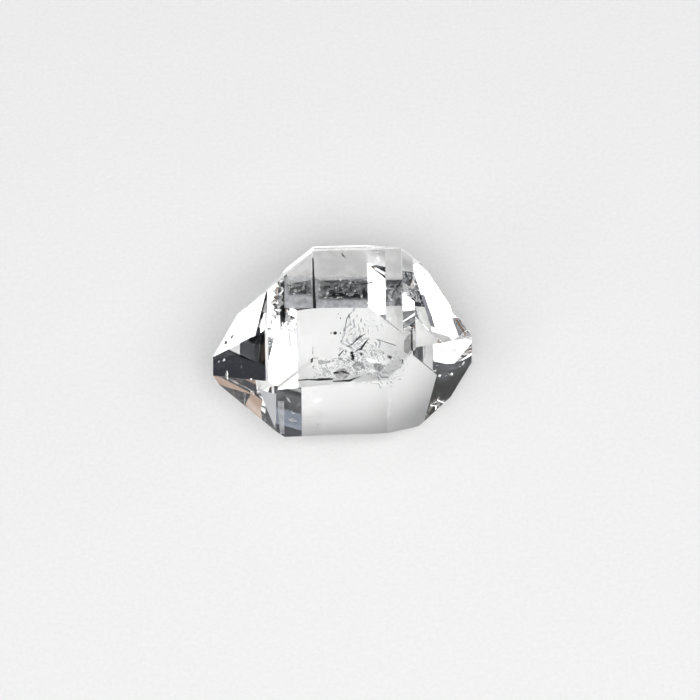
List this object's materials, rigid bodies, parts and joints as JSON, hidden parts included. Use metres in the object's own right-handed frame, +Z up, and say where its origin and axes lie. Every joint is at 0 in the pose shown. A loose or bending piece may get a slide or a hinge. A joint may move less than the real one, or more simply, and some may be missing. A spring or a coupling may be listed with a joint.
{
  "type": "doubly terminated quartz crystal",
  "caption": "Clear quartz crystal with a point at each end, lying on a prism face, with flat glassy faces, a stepped far side, a terrace on top and small shell-like chips.",
  "frame": {"origin": "on the surface that the crystal rests on, under the middle of its outer box", "axes": "+X along the growth axis towards the right tip, +Y towards the far side, +Z up, square to the face that it rests on"},
  "size_m": [0.0238, 0.0176, 0.0111],
  "materials": {
    "clear_quartz": "natural crystal faces, glass smooth, see-through, IOR 1.544"
  },
  "bodies": {
    "root": {"crystal": "clear_quartz"}
  },
  "joints": []
}
